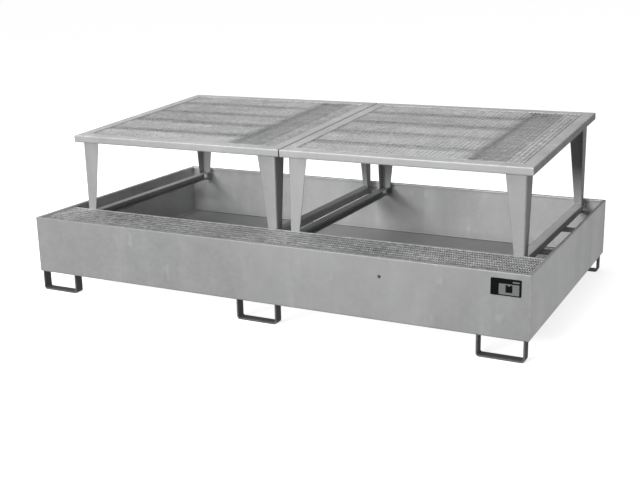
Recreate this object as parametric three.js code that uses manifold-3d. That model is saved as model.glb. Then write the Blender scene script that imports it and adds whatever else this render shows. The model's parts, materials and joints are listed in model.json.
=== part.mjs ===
// Spill containment pallet with two raised dispensing stands, for two intermediate bulk containers.
// Millimetres, +X along the length, +Y towards the back, +Z up. The origin is on the floor, at the
// centre of the tray's footprint. All sheet parts are hot-dip galvanised steel.

import * as THREE from 'three';
import { mergeVertices } from 'three/addons/utils/BufferGeometryUtils.js';
import Module from 'manifold-3d';

const wasm = await Module();
wasm.setup();

// ---- Driving dimensions -------------------------------------------------------------------

const gap = 0.3; // clearance left between pieces that touch
const cutMargin = 10; // how far a cutting shape reaches past what it cuts

const trayLength = 2680;
const trayDepth = 1500;
const trayHeight = 300; // from the underside of the floor to the rim
const traySheet = 3;
const rimWidth = 14;
const rimLip = 15; // how far the folded rim turns down again
const bendRadius = 12; // outside radius where the walls turn into the floor
const floorFlange = 20; // floor strip that belongs to each folded wall
const mitreDepth = 24; // deeper than a wall's floor strip

const footHeight = 100;
const footWidth = 220;
const footBarWidth = 50;
const footBarThickness = 8;
const footBendRadius = 16;
const footInset = 15; // from the end wall to the nearest foot

const frontGratingDepth = 270;
const frontGratingDrop = 10; // top of the grating below the rim
const frontGratingHeight = 30;
const gratingSlack = 2; // play between a grating and its seat
const frontGratingCells = { columns: 10, rows: 2, bar: 10 };
const ledgeDepth = 37;
const supportEndGap = 1; // from a ledge or beam to the folded rims at its ends
const ledgeDrop = 35;
const beamWebThickness = 4;
const beamCap = 11; // top flange of the cross beam, front to back
const railShelfDepth = 58;

const standWidth = 1260;
const standGap = 7;
const standFront = 268; // from the tray's front face to the platform's front edge
const standRun = 1222; // front to back, measured level
const standRise = 73; // the platform's back edge is this much higher
const platformTopFront = 700; // above the underside of the tray floor
const frameHeight = 38;
const frameFlange = 60;
const frameLowerFlange = 36;
const frameSheet = 3;

const legInsetSide = 34; // leg fold inside the platform's side edge
const legInsetEnd = 30;
const legSheet = 4;
const legWidthTop = 100;
const legDepthTop = 94;
const legWidthFoot = 50;

const railWidth = 45;
const railHeight = 40;
const railSheet = 3;
const railTop = 275; // above the underside of the tray floor
const railEndSetback = 2; // rail end inside the back face of the back legs

const deckGratingHeight = 4;
const deckGratingCells = { columns: 6, rows: 6, bar: 14 };
const slatCount = 5;
const slatGap = 12;
const slatHeight = 22;
const slatLength = 936;
const slatSheet = 3;
const slatTuck = 20; // how far the end slats and the deck members reach under the frame's flange
const plankStart = 1107; // left edge of the lengthwise plank, from the platform's left edge
const plankWidth = 92;

const bracketPositions = [600, 1048]; // from the tray's front face
const bracketWidth = 80;
const bracketSheet = 5;
const bracketDrop = 50;
const cleatWidth = 42;
const cleatReach = 62;
const cleatRise = 30;

const labelSize = { width: 135, height: 76, thickness: 1.5 };
const labelFromRight = 39;
const labelBelowRim = 29;

const boltFromCentre = 648; // to the right of the tray's centre
const boltBelowRim = 90;
const boltHeadAcross = 13;
const boltHeadHeight = 5;
const boltShank = 8;
const boltHole = 9;
const boltLength = 16;
const roundSides = 16;

// ---- Derived levels and positions ----------------------------------------------------------

const halfLength = trayLength / 2;
const halfDepth = trayDepth / 2;
const trayBottom = footHeight;
const rimLevel = trayBottom + trayHeight;
const gratingTop = rimLevel - frontGratingDrop;
const gratingBottom = gratingTop - frontGratingHeight;
const innerHalfLength = halfLength - traySheet;
const innerHalfDepth = halfDepth - traySheet;
const betweenRims = halfLength - rimWidth;
const supportEnd = betweenRims - supportEndGap;
const beamFront = -halfDepth + rimWidth + gratingSlack + frontGratingDepth;
const railTopLevel = trayBottom + railTop;
const railBottomLevel = railTopLevel - railHeight;
const tilt = Math.atan2(standRise, standRun);
const platformDepth = standRun / Math.cos(tilt);
const platformFrontY = -halfDepth + standFront;
const platformFrontZ = trayBottom + platformTopFront;
const slatPitch = platformDepth / slatCount;
const slatTop = -deckGratingHeight - gap;

// ---- Finishes --------------------------------------------------------------------------------

function steel(color, roughness = 0.5) {
  return new THREE.MeshStandardMaterial({ color, roughness, metalness: 0.85 });
}

const finishes = {
  tray: () => steel(0x9c9c9b),
  foot: () => steel(0x5c5c5c, 0.6),
  grating: () => steel(0x929292, 0.55),
  stand: () => steel(0xadadad),
  deck: () => steel(0xb6b6b6),
  bracket: () => steel(0x8c8c8c),
  bolt: () => steel(0x4a4a4a),
  label: () => new THREE.MeshStandardMaterial({ color: 0x1c1c1c, roughness: 0.45, metalness: 0 }),
};

// ---- Solid helpers ---------------------------------------------------------------------------

function solid(geometry) {
  const bare = geometry.clone();
  bare.deleteAttribute('normal');
  bare.deleteAttribute('uv');
  const merged = mergeVertices(bare, 1e-4);
  const mesh = new wasm.Mesh({
    numProp: 3,
    vertProperties: new Float32Array(merged.attributes.position.array),
    triVerts: new Uint32Array(merged.index.array),
  });
  return new wasm.Manifold(mesh);
}

function geometryOf(body) {
  const mesh = body.getMesh();
  const geometry = new THREE.BufferGeometry();
  geometry.setAttribute('position', new THREE.BufferAttribute(mesh.vertProperties, 3));
  geometry.setIndex(new THREE.BufferAttribute(mesh.triVerts, 1));
  geometry.computeVertexNormals();
  return geometry;
}

function extrude(outline, length) {
  const shape = new THREE.Shape(outline.map(([a, b]) => new THREE.Vector2(a, b)));
  return new THREE.ExtrudeGeometry(shape, { depth: length, bevelEnabled: false });
}

// Outline in (y, z), extruded from x0 to x1.
function alongX(outline, x0, x1) {
  const geometry = extrude(outline, x1 - x0);
  const turn = new THREE.Matrix4().makeBasis(
    new THREE.Vector3(0, 1, 0),
    new THREE.Vector3(0, 0, 1),
    new THREE.Vector3(1, 0, 0),
  );
  return geometry.applyMatrix4(turn).translate(x0, 0, 0);
}

// Outline in (x, z), extruded from y0 to y1.
function alongY(outline, y0, y1) {
  const geometry = extrude(outline, y1 - y0);
  const turn = new THREE.Matrix4().makeBasis(
    new THREE.Vector3(1, 0, 0),
    new THREE.Vector3(0, 0, 1),
    new THREE.Vector3(0, -1, 0),
  );
  return geometry.applyMatrix4(turn).translate(0, y1, 0);
}

// Outline in (x, y), extruded from z0 to z1.
function alongZ(outline, z0, z1) {
  return extrude(outline, z1 - z0).translate(0, 0, z0);
}

function rectangle(a0, a1, b0, b1) {
  return [[a0, b0], [a1, b0], [a1, b1], [a0, b1]];
}

function arc(centreA, centreB, radius, fromDegrees, toDegrees, steps = 5) {
  const points = [];
  for (let i = 0; i <= steps; i += 1) {
    const angle = THREE.MathUtils.degToRad(fromDegrees + ((toDegrees - fromDegrees) * i) / steps);
    points.push([centreA + radius * Math.cos(angle), centreB + radius * Math.sin(angle)]);
  }
  return points;
}

const assembly = new THREE.Group();

function addPiece(name, geometry, finish, parent = assembly) {
  const mesh = new THREE.Mesh(geometry, finishes[finish]());
  mesh.name = name;
  parent.add(mesh);
}

// ---- Spill tray ------------------------------------------------------------------------------

// Section of a wall as (distance in from the outer face, height above the tray's underside).
function wallSection() {
  const inner = bendRadius - traySheet;
  return [
    [floorFlange, 0],
    ...arc(bendRadius, bendRadius, bendRadius, 270, 180),
    [0, trayHeight],
    [rimWidth, trayHeight],
    [rimWidth, trayHeight - rimLip],
    [rimWidth - traySheet, trayHeight - rimLip],
    [rimWidth - traySheet, trayHeight - traySheet],
    [traySheet, trayHeight - traySheet],
    ...arc(bendRadius, bendRadius, inner, 180, 270),
    [floorFlange, traySheet],
  ];
}

// Plan of a strip along a wall's outer face, with a 45 degree mitre at each end.
function mitredStrip(halfRun, halfAcross, side) {
  const near = halfRun - gap / 2;
  return [
    [-near, side * halfAcross],
    [near, side * halfAcross],
    [near - mitreDepth, side * (halfAcross - mitreDepth)],
    [-near + mitreDepth, side * (halfAcross - mitreDepth)],
  ];
}

function longWall(side) {
  const outline = wallSection().map(([inward, up]) => [side * (halfDepth - inward), trayBottom + up]);
  const wall = solid(alongX(outline, -halfLength, halfLength));
  const prism = alongZ(mitredStrip(halfLength, halfDepth, side), 0, rimLevel + cutMargin);
  return wall.intersect(solid(prism));
}

function endWall(side) {
  const outline = wallSection().map(([inward, up]) => [side * (halfLength - inward), trayBottom + up]);
  const wall = solid(alongY(outline, -halfDepth, halfDepth));
  const swapped = mitredStrip(halfDepth, halfLength, side).map(([a, b]) => [b, a]);
  return wall.intersect(solid(alongZ(swapped, 0, rimLevel + cutMargin)));
}

function boltAxisGeometry(radius, y0, y1, sides) {
  const cylinder = new THREE.CylinderGeometry(radius, radius, y1 - y0, sides);
  return cylinder.translate(boltFromCentre, (y0 + y1) / 2, rimLevel - boltBelowRim);
}

function addTray() {
  const floorEdge = floorFlange + gap;
  const floorOutline = rectangle(
    -halfLength + floorEdge,
    halfLength - floorEdge,
    -halfDepth + floorEdge,
    halfDepth - floorEdge,
  );
  addPiece('tray_floor', alongZ(floorOutline, trayBottom, trayBottom + traySheet), 'tray');

  const holeEnds = [-halfDepth - cutMargin, -halfDepth + cutMargin];
  const holeCutter = boltAxisGeometry(boltHole / 2, holeEnds[0], holeEnds[1], roundSides);
  const frontWall = longWall(-1).subtract(solid(holeCutter));
  addPiece('tray_front_wall', geometryOf(frontWall), 'tray');
  addPiece('tray_back_wall', geometryOf(longWall(1)), 'tray');
  addPiece('tray_left_wall', geometryOf(endWall(-1)), 'tray');
  addPiece('tray_right_wall', geometryOf(endWall(1)), 'tray');
}

// ---- Feet ------------------------------------------------------------------------------------

// A flat bar bent to a U, seen from the front, about x = 0 and standing on z = 0.
function footOutline() {
  const half = footWidth / 2;
  const outer = footBendRadius;
  const inner = footBendRadius - footBarThickness;
  const top = footHeight - gap;
  return [
    [-half, top],
    ...arc(-half + outer, outer, outer, 180, 270, 4),
    ...arc(half - outer, outer, outer, 270, 360, 4),
    [half, top],
    [half - footBarThickness, top],
    ...arc(half - outer, outer, inner, 360, 270, 4),
    ...arc(-half + outer, outer, inner, 270, 180, 4),
    [-half + footBarThickness, top],
  ];
}

function addFeet() {
  const endCentre = halfLength - footInset - footWidth / 2;
  const columns = { left: -endCentre, centre: 0, right: endCentre };
  const rows = { front: -halfDepth, back: halfDepth - footBarWidth };
  for (const [row, y0] of Object.entries(rows)) {
    for (const [column, x] of Object.entries(columns)) {
      const foot = alongY(footOutline(), y0, y0 + footBarWidth).translate(x, 0, 0);
      addPiece(`foot_${row}_${column}`, foot, 'foot');
    }
  }
}

// ---- Supports inside the tray -------------------------------------------------------------------

// Angle on the inside of the front wall that carries the front gratings' front edge.
function addFrontLedge() {
  const y0 = -innerHalfDepth + gap;
  const top = gratingBottom - gap;
  const outline = [
    [y0, top],
    [y0, top - ledgeDrop],
    [y0 + beamWebThickness, top - ledgeDrop],
    [y0 + beamWebThickness, top - beamWebThickness],
    [y0 + ledgeDepth, top - beamWebThickness],
    [y0 + ledgeDepth, top],
  ];
  addPiece('grating_ledge_front', alongX(outline, -supportEnd, supportEnd), 'bracket');
}

// Cross beam: a shelf for the gratings in front, a cap level with them, and a shelf for the base
// rails behind.
function addCrossBeam() {
  const web = beamFront + gap;
  const webBack = web + beamWebThickness;
  const shelf = gratingBottom - gap;
  const railShelf = railBottomLevel - gap;
  const outline = [
    [web - ledgeDepth, shelf],
    [web - ledgeDepth, shelf - beamWebThickness],
    [web, shelf - beamWebThickness],
    [web, railShelf - beamWebThickness],
    [web + railShelfDepth, railShelf - beamWebThickness],
    [web + railShelfDepth, railShelf],
    [webBack, railShelf],
    [webBack, gratingTop - beamWebThickness],
    [web + beamCap, gratingTop - beamWebThickness],
    [web + beamCap, gratingTop],
    [web, gratingTop],
    [web, shelf],
  ];
  addPiece('cross_beam', alongX(outline, -supportEnd, supportEnd), 'bracket');
}

// Angle cleats on the back wall: a shelf under the far end of each base rail, a leg up behind it.
function addRailCleats() {
  const top = railBottomLevel - gap;
  const wallFace = innerHalfDepth - gap;
  const outline = [
    [wallFace - cleatReach, top],
    [wallFace - cleatReach, top - bracketSheet],
    [wallFace, top - bracketSheet],
    [wallFace, top + cleatRise],
    [wallFace - bracketSheet, top + cleatRise],
    [wallFace - bracketSheet, top],
  ];
  const outer = outerFoldX(1) - railWidth / 2;
  const middleHalf = standGap / 2 + legInsetSide + railWidth;
  addPiece('rail_cleat_left', alongX(outline, -outer - cleatWidth / 2, -outer + cleatWidth / 2), 'bracket');
  addPiece('rail_cleat_centre', alongX(outline, -middleHalf, middleHalf), 'bracket');
  addPiece('rail_cleat_right', alongX(outline, outer - cleatWidth / 2, outer + cleatWidth / 2), 'bracket');
}

// Angle brackets on the end walls that reach under the outer base rails.
function addSideBrackets() {
  const top = railBottomLevel - gap;
  const wallFace = innerHalfLength - gap;
  const reach = outerFoldX(1) - railWidth;
  const names = ['front', 'back'];
  for (const [sideName, side] of [['left', -1], ['right', 1]]) {
    const outline = [
      [side * reach, top],
      [side * reach, top - bracketSheet],
      [side * (wallFace - bracketSheet), top - bracketSheet],
      [side * (wallFace - bracketSheet), top - bracketDrop],
      [side * wallFace, top - bracketDrop],
      [side * wallFace, top],
    ];
    bracketPositions.forEach((position, index) => {
      const y0 = -halfDepth + position - bracketWidth / 2;
      const bracket = alongY(outline, y0, y0 + bracketWidth);
      addPiece(`side_bracket_${sideName}_${names[index]}`, bracket, 'bracket');
    });
  }
}

// ---- Gratings --------------------------------------------------------------------------------

// A flat panel of bars with a regular pattern of openings, lying between z0 and z1.
function gratingPanel([x0, x1], [y0, y1], [z0, z1], { columns, rows, bar }) {
  const stepX = (x1 - x0 - bar) / columns;
  const stepY = (y1 - y0 - bar) / rows;
  let panel = solid(alongZ(rectangle(x0, x1, y0, y1), z0, z1));
  for (let i = 0; i < columns; i += 1) {
    for (let j = 0; j < rows; j += 1) {
      const left = x0 + bar + i * stepX;
      const front = y0 + bar + j * stepY;
      const opening = rectangle(left, left + stepX - bar, front, front + stepY - bar);
      panel = panel.subtract(solid(alongZ(opening, z0 - cutMargin, z1 + cutMargin)));
    }
  }
  return geometryOf(panel);
}

function addFrontGratings() {
  const y0 = -halfDepth + rimWidth + gratingSlack;
  const outerX = betweenRims - gratingSlack;
  for (const [sideName, side] of [['left', -1], ['right', 1]]) {
    const ends = [side * gratingSlack, side * outerX].sort((a, b) => a - b);
    const panel = gratingPanel(ends, [y0, beamFront], [gratingBottom, gratingTop], frontGratingCells);
    addPiece(`front_grating_${sideName}`, panel, 'grating');
  }
}

// ---- Raised stands -----------------------------------------------------------------------------

function standLeftEdge(side) {
  return side < 0 ? -standGap / 2 - standWidth : standGap / 2;
}

// Outer leg fold of the stand on the given side, as a distance from the tray's centre.
function outerFoldX(side) {
  return side * (standGap / 2 + standWidth - legInsetSide);
}

function platformUndersideAt(y) {
  const drop = frameHeight / Math.cos(tilt) + gap;
  return platformFrontZ + (y - platformFrontY) * Math.tan(tilt) - drop;
}

// Tapered leg of folded sheet. Its fold is at (foldX, foldY), and the two flanges run inwards.
function legSolid(foldX, foldY, inwardX, inwardY) {
  const foot = railTopLevel + gap;
  const topAtFold = platformUndersideAt(foldY);
  const topInside = platformUndersideAt(foldY + inwardY * legSheet);
  const topAtEdge = platformUndersideAt(foldY + inwardY * legDepthTop);
  const lowestTop = Math.min(topAtFold, topInside);
  const across = [
    [foldX, foot],
    [foldX + inwardX * legWidthFoot, foot],
    [foldX + inwardX * legWidthTop, lowestTop],
    [foldX, lowestTop],
  ];
  const along = [
    [foldY, foot],
    [foldY + inwardY * legWidthFoot, foot],
    [foldY + inwardY * legDepthTop, topAtEdge],
    [foldY, topAtFold],
  ];
  const acrossY = [foldY, foldY + inwardY * legSheet].sort((a, b) => a - b);
  const alongXs = [foldX, foldX + inwardX * legSheet].sort((a, b) => a - b);
  const flangeAcross = solid(alongY(across, acrossY[0], acrossY[1]));
  const flangeAlong = solid(alongX(along, alongXs[0], alongXs[1]));
  return flangeAcross.add(flangeAlong);
}

// Channel with its open side facing inwards, towards the middle of the stand.
function railGeometry(foldX, inwardX, y0, y1) {
  const outline = [
    [0, 0],
    [railWidth, 0],
    [railWidth, railSheet],
    [railSheet, railSheet],
    [railSheet, railHeight - railSheet],
    [railWidth, railHeight - railSheet],
    [railWidth, railHeight],
    [0, railHeight],
  ];
  const placed = outline.map(([inward, up]) => [foldX + inwardX * inward, railBottomLevel + up]);
  return alongY(placed, y0, y1);
}

// Section of a frame member as (distance in from the platform's edge, height below its top).
function frameSection() {
  return [
    [0, 0],
    [0, -frameHeight],
    [frameLowerFlange, -frameHeight],
    [frameLowerFlange, -frameHeight + frameSheet],
    [frameSheet, -frameHeight + frameSheet],
    [frameSheet, -frameSheet],
    [frameFlange, -frameSheet],
    [frameFlange, 0],
  ];
}

// Four mitred channels around the platform, in the platform's own frame.
function addFrame(prefix, platform) {
  const trim = gap / 2;
  const reach = frameFlange + cutMargin;
  const w = standWidth;
  const d = platformDepth;
  const section = frameSection();
  const members = {
    front: {
      body: alongX(section, 0, w),
      keep: [[trim, 0], [w - trim, 0], [w - reach - trim, reach], [reach + trim, reach]],
    },
    back: {
      body: alongX(section.map(([inward, up]) => [d - inward, up]), 0, w),
      keep: [[trim, d], [w - trim, d], [w - reach - trim, d - reach], [reach + trim, d - reach]],
    },
    left: {
      body: alongY(section, 0, d),
      keep: [[0, trim], [0, d - trim], [reach, d - reach - trim], [reach, reach + trim]],
    },
    right: {
      body: alongY(section.map(([inward, up]) => [w - inward, up]), 0, d),
      keep: [[w, trim], [w, d - trim], [w - reach, d - reach - trim], [w - reach, reach + trim]],
    },
  };
  for (const [name, { body, keep }] of Object.entries(members)) {
    const prism = alongZ(keep, -frameHeight - cutMargin, cutMargin);
    const member = solid(body).intersect(solid(prism));
    addPiece(`${prefix}_frame_${name}`, geometryOf(member), 'stand', platform);
  }
}

// Inverted channel section between a0 and a1, with its top at the underside of the deck grating.
function hatSection(a0, a1) {
  return [
    [a0, slatTop],
    [a0, slatTop - slatHeight],
    [a0 + slatSheet, slatTop - slatHeight],
    [a0 + slatSheet, slatTop - slatSheet],
    [a1 - slatSheet, slatTop - slatSheet],
    [a1 - slatSheet, slatTop - slatHeight],
    [a1, slatTop - slatHeight],
    [a1, slatTop],
  ];
}

// The same channel the other way up, open towards the deck grating.
function troughSection(a0, a1) {
  const bottom = slatTop - slatHeight;
  return hatSection(a0, a1).map(([a, up]) => [a, bottom + slatTop - up]).reverse();
}

function addDeck(prefix, platform) {
  const web = frameSheet + gap;
  for (let i = 0; i < slatCount; i += 1) {
    const front = Math.max(i * slatPitch + slatGap / 2, frameFlange - slatTuck);
    const back = Math.min((i + 1) * slatPitch - slatGap / 2, platformDepth - frameFlange + slatTuck);
    const slat = alongX(hatSection(front, back), web, slatLength);
    addPiece(`${prefix}_slat_${i + 1}`, slat, 'deck', platform);
  }

  const bearer = alongY(troughSection(slatLength + gap, plankStart - gap), web, platformDepth - web);
  addPiece(`${prefix}_bearer`, bearer, 'deck', platform);

  const plank = alongY(hatSection(plankStart, plankStart + plankWidth), web, platformDepth - web);
  addPiece(`${prefix}_plank`, plank, 'deck', platform);

  const edge = frameFlange + gratingSlack;
  const panel = gratingPanel(
    [edge, standWidth - edge],
    [edge, platformDepth - edge],
    [-deckGratingHeight, 0],
    deckGratingCells,
  );
  addPiece(`${prefix}_deck_grating`, panel, 'grating', platform);
}

function addStand(sideName, side) {
  const prefix = `stand_${sideName}`;
  const leftEdge = standLeftEdge(side);
  const foldLeft = leftEdge + legInsetSide;
  const foldRight = leftEdge + standWidth - legInsetSide;
  const foldFront = platformFrontY + legInsetEnd;
  const foldBack = platformFrontY + standRun - legInsetEnd;

  const corners = [
    ['front_left', foldLeft, foldFront, 1, 1],
    ['front_right', foldRight, foldFront, -1, 1],
    ['back_left', foldLeft, foldBack, 1, -1],
    ['back_right', foldRight, foldBack, -1, -1],
  ];
  for (const [corner, x, y, inwardX, inwardY] of corners) {
    addPiece(`${prefix}_leg_${corner}`, geometryOf(legSolid(x, y, inwardX, inwardY)), 'stand');
  }

  const railStart = foldFront + railEndSetback;
  const railEnd = foldBack - railEndSetback;
  addPiece(`${prefix}_rail_left`, railGeometry(foldLeft, 1, railStart, railEnd), 'stand');
  addPiece(`${prefix}_rail_right`, railGeometry(foldRight, -1, railStart, railEnd), 'stand');

  const platform = new THREE.Group();
  platform.position.set(leftEdge, platformFrontY, platformFrontZ);
  platform.rotation.x = tilt;
  assembly.add(platform);
  addFrame(prefix, platform);
  addDeck(prefix, platform);
}

// ---- Label plate and earthing bolt ---------------------------------------------------------------

function addLabelPlate() {
  const x1 = halfLength - labelFromRight;
  const z1 = rimLevel - labelBelowRim;
  const face = -halfDepth - gap;
  const outline = rectangle(x1 - labelSize.width, x1, z1 - labelSize.height, z1);
  addPiece('label_plate', alongY(outline, face - labelSize.thickness, face), 'label');
}

// Hexagon bolt through the front wall, its head outside.
function addEarthingBolt() {
  const face = -halfDepth - gap;
  const hexRadius = boltHeadAcross / Math.sqrt(3);
  const head = solid(boltAxisGeometry(hexRadius, face - boltHeadHeight, face, 6));
  const inHead = face - boltHeadHeight / 2;
  const shank = solid(boltAxisGeometry(boltShank / 2, inHead, face + boltLength, roundSides));
  addPiece('earthing_bolt', geometryOf(head.add(shank)), 'bolt');
}

addTray();
addFeet();
addFrontLedge();
addCrossBeam();
addRailCleats();
addSideBrackets();
addFrontGratings();
addStand('left', -1);
addStand('right', 1);
addLabelPlate();
addEarthingBolt();

export default assembly;
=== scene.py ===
import json
import math
import random

import bmesh
import bpy
from mathutils import Matrix, Vector
from mathutils.noise import noise


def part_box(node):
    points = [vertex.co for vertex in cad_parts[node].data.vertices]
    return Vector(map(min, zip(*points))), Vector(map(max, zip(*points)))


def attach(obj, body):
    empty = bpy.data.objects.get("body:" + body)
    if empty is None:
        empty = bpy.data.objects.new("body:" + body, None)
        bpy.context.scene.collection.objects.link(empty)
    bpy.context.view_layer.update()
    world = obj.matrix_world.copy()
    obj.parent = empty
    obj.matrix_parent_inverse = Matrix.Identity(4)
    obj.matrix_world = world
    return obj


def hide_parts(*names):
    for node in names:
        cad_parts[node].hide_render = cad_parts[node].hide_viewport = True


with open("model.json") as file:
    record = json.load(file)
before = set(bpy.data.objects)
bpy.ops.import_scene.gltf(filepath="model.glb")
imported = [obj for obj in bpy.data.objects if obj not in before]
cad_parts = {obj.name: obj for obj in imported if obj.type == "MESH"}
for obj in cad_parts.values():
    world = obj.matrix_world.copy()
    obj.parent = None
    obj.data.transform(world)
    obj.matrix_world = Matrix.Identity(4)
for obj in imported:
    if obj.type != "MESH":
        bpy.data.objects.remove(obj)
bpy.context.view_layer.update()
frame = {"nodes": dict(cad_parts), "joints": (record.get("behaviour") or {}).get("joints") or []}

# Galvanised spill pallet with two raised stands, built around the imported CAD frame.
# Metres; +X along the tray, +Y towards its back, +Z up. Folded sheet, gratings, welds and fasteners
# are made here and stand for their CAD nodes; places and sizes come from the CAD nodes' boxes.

nodes = frame["nodes"]
SIDES = ("left", "right")
ROWS = ("front", "back")
COLUMNS = ("left", "centre", "right")

# ---- Sheet and bar sizes, as in the CAD source ---------------------------------------------------

GAP = 0.0003  # between pieces that touch
TRAY_SHEET = 0.003
RIM_WIDTH = 0.014
RIM_LIP = 0.015
FLOOR_FLANGE = 0.020
FOOT_BAR = 0.008
FOOT_BEND = 0.016
SUPPORT_SHEET = 0.004
BEAM_CAP = 0.011  # top flange of the cross beam, front to back
BRACKET_SHEET = 0.005
FRAME_SHEET = 0.003
FRAME_FLANGE = 0.060
FRAME_LOWER = 0.036
FRAME_HEIGHT = 0.038
LEG_SHEET = 0.004
LEG_FOOT = 0.050
LEG_FOLD = 0.009
RAIL_SHEET = 0.003
SLAT_SHEET = 0.003
SLAT_NUMBERS = range(1, 6)

# ---- Details made only here ----------------------------------------------------------------------

FOLD_RADIUS = 0.0045  # outside radius of most folds
BEAM_BEND = 0.0052
BRACKET_BEND = 0.008
BEAM_WELDS = 9
FOOT_EASE = 0.0009  # rounding of a foot's sharp edges
CUT_EASE = 0.18  # chamfer on a sheet's cut edge, as a share of the sheet
BAR_EASE = 0.0006  # chamfer on a grating bar's top edges
FRONT_PITCH = (0.0111, 0.0333)  # between bearing bars, between cross bars
FRONT_BEARING_WIDTH = 0.0052
FRONT_CROSS = (0.006, 0.010)  # width, depth
FRONT_LUMP = 0.004  # size of the zinc left at a crossing
DECK_PITCH = (0.0222, 0.0222)
DECK_BAR_WIDTH = 0.0028
DECK_LUMP = 0.0018
DECK_BAR_DEPTHS = (0.5, 0.45)  # bearing and cross bars, as shares of the grating's height
GRATING_BORDER = 0.005
LUMP_CHANCE = 0.5  # that zinc is left at a crossing
BEAD = 0.003  # radius of an ordinary weld bead
BEAD_STEP = 0.0045  # between ripples
BEAD_SIDES = 6
SLAT_SHADE_EDGE = 0.045  # how far the painted shade reaches in from a slat's edges
# How far the painted shade reaches in from the plank's edges.
PLANK_SHADE_EDGE = 0.018
CUT_WEAR_AND_SHADE = 0.8  # wear at the cut ends of a folded sheet, and painted shade there on finishes with a negative edge strength
BEAD_WEAR = 0.6
RIGHT = Vector((1, 0, 0))
UP = Vector((0, 0, 1))
FACING = 0.5  # a face looks towards a direction when the cosine between them is above this
SHARP_ANGLE = math.radians(32)

# First seeds of the random draws, one for each kind of weld and grating.
FOOT_SEED = 40
BRACKET_SEED = 70
SHELF_SEED = 80
FLANGE_SEED = 90
FRONT_GRATING_SEED = 100
FRAME_SEED = 200
LEG_SEED = 300
BEARER_SEED = 400
DECK_GRATING_SEED = 500

# ---- Meshes --------------------------------------------------------------------------------------


def new_object(name, bm, material, body, replaced=()):
    """A mesh object that moves with a CAD body and stands for the replaced nodes."""
    bmesh.ops.recalc_face_normals(bm, faces=bm.faces)
    mesh = bpy.data.meshes.new(name)
    bm.to_mesh(mesh)
    bm.free()
    mesh.materials.append(material)
    mesh.polygons.foreach_set("use_smooth", [True] * len(mesh.polygons))
    mesh.set_sharp_from_angle(angle=SHARP_ANGLE)
    obj = bpy.data.objects.new(name, mesh)
    bpy.context.scene.collection.objects.link(obj)
    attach(obj, body)
    if replaced:
        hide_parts(*replaced)
    return obj


def paint_light_and_shade_by_facing(obj, material, direction):
    """Faces that look towards a direction take another copy of the zinc: painted light where the copy is
    lighter, painted shade where it is darker.
    """
    obj.data.materials.append(material)
    index = len(obj.data.materials) - 1
    for face in obj.data.polygons:
        if face.normal.dot(direction) > FACING:
            face.material_index = index


def new_bmesh():
    """An empty mesh whose vertices carry an edge mask: wear that brightens their finish, and painted shade
    that darkens it where the finish's edge strength is negative.
    """
    bm = bmesh.new()
    bm.verts.layers.float.new("wear_and_shade")
    return bm


def left_of(direction):
    return Vector((-direction.y, direction.x))


def offset_path(corners, distance):
    """The open path moved sideways to its left by a distance, with mitred corners."""
    moved = []
    last = len(corners) - 1
    for i, point in enumerate(corners):
        before = (point - corners[i - 1]).normalized() if i > 0 else None
        after = (corners[i + 1] - point).normalized() if i < last else None
        first = left_of(before or after)
        middle = (first + left_of(after or before)).normalized()
        moved.append(point + middle * (distance / middle.dot(first)))
    return moved


def rounded_path(corners, radius, steps, margin):
    """(point, left normal, edge mask) along an open path with rounded corners.

    The edge mask, of wear and painted shade, is 1 on folds and ends and fades over the margin, or over a
    share of a short flat.
    """
    share = 0.2
    last = len(corners) - 1
    path = []
    for i, point in enumerate(corners):
        if i in (0, last):
            along = (corners[1] - corners[0]) if i == 0 else (corners[last] - corners[last - 1])
            reach = min(margin, along.length * share)
            along.normalize()
            end = (point, left_of(along), 1.0)
            near = (point + along * (reach if i == 0 else -reach), left_of(along), 0.0)
            path.extend([end, near] if i == 0 else [near, end])
            continue
        before = point - corners[i - 1]
        after = corners[i + 1] - point
        reach_back = min(margin, before.length * share)
        reach_on = min(margin, after.length * share)
        before.normalize()
        after.normalize()
        turn = math.atan2(before.x * after.y - before.y * after.x, before.dot(after))
        side = math.copysign(1.0, turn)
        setback = radius * math.tan(abs(turn) / 2)
        start = point - before * setback
        normal = left_of(before)
        centre = start + normal * (radius * side)
        path.append((start - before * reach_back, normal, 0.0))
        for k in range(steps + 1):
            turned = normal.copy()
            turned.rotate(Matrix.Rotation(turn * k / steps, 2))
            path.append((centre - turned * (radius * side), turned, 1.0))
        path.append((point + after * (setback + reach_on), left_of(after), 0.0))
    return path


def sheet_section(corners, sheet, bend, steps=4, margin=0.005):
    """Closed outline [(u, v, edge mask of wear and painted shade)] of a folded sheet.

    The corners are on one face of the sheet, and the sheet is to the left of them.
    """
    middle = offset_path([Vector(c) for c in corners], sheet / 2)
    path = rounded_path(middle, bend - sheet / 2, steps, margin)
    chamfer = sheet * CUT_EASE
    half = sheet / 2
    left, right = [], []
    for i, (point, normal, wear_and_shade) in enumerate(path):
        if i == 0:
            along = (path[1][0] - point).normalized()
        elif i == len(path) - 1:
            along = (path[-2][0] - point).normalized()
        else:
            left.append((point + normal * half, wear_and_shade))
            right.append((point - normal * half, wear_and_shade))
            continue
        rounded = [(point + along * chamfer, half), (point, half - chamfer)]
        if i:
            rounded.reverse()
        left.extend((p + normal * h, wear_and_shade) for p, h in rounded)
        right.extend((p - normal * h, wear_and_shade) for p, h in rounded)
    return [(p.x, p.y, wear_and_shade) for p, wear_and_shade in left + right[::-1]]


def loft(bm, rings):
    """Joins the rings of a sheet section and closes both cut ends, face to face across the sheet."""
    count = len(rings[0])
    for near, far in zip(rings, rings[1:]):
        for i in range(count):
            j = (i + 1) % count
            bm.faces.new((near[i], near[j], far[j], far[i]))
    for i in range(count // 2 - 1):
        for ring in (rings[0], rings[-1]):
            bm.faces.new((ring[i], ring[i + 1], ring[count - 2 - i], ring[count - 1 - i]))


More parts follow.
